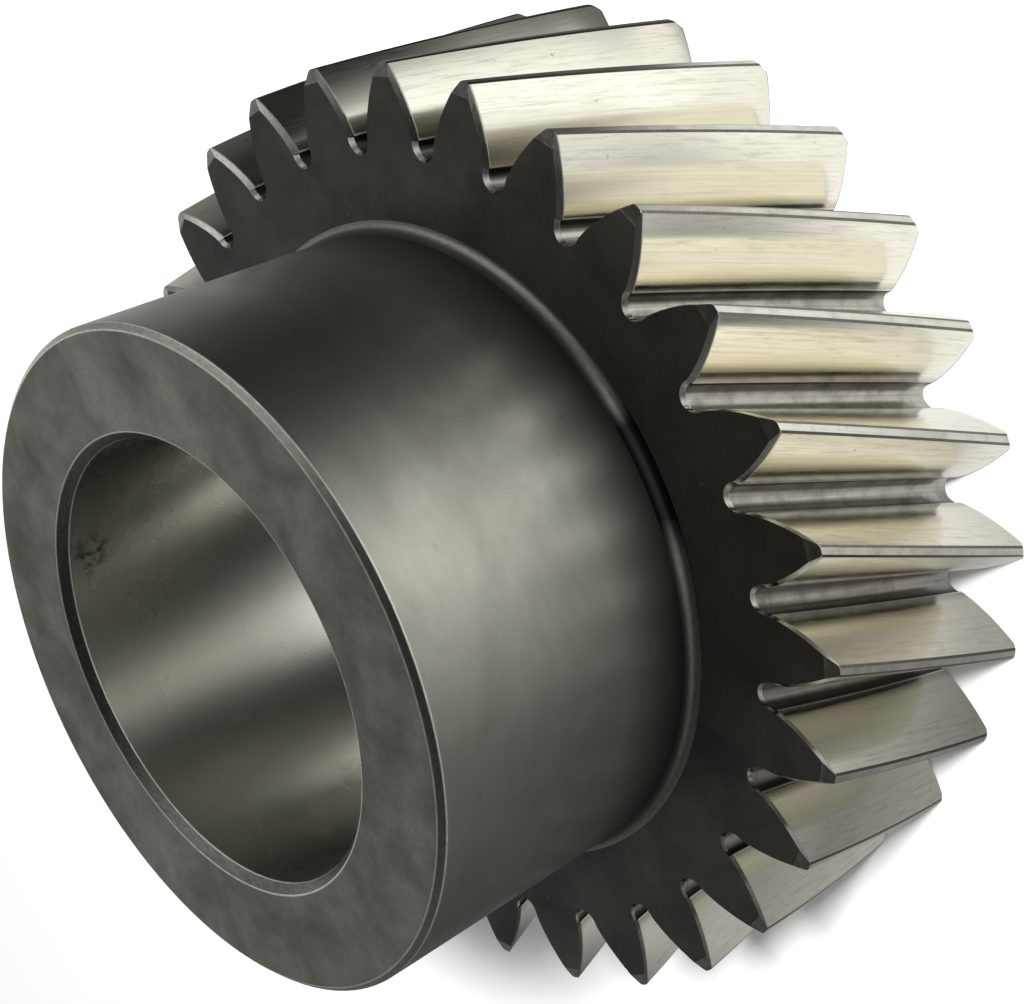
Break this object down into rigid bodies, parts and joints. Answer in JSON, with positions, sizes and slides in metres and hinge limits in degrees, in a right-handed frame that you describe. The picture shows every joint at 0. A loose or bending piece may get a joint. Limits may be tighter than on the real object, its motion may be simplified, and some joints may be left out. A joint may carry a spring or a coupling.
{
  "type": "helical transmission gear",
  "caption": "One-piece helical gear with a long plain hub, chamfered through bore and ground right-hand teeth.",
  "frame": {"origin": "on the bore's axis, in the plane of the toothed back face that the gear stands on", "axes": "+Z along the bore from the toothed back face to the hub's end; a tooth is centred on +X at the back face"},
  "size_m": [0.146, 0.146, 0.0893],
  "materials": {
    "steel": "turned and ground steel, dark on the turned faces and bright on the tooth flanks"
  },
  "bodies": {
    "root": {"gear": "steel"}
  },
  "joints": []
}
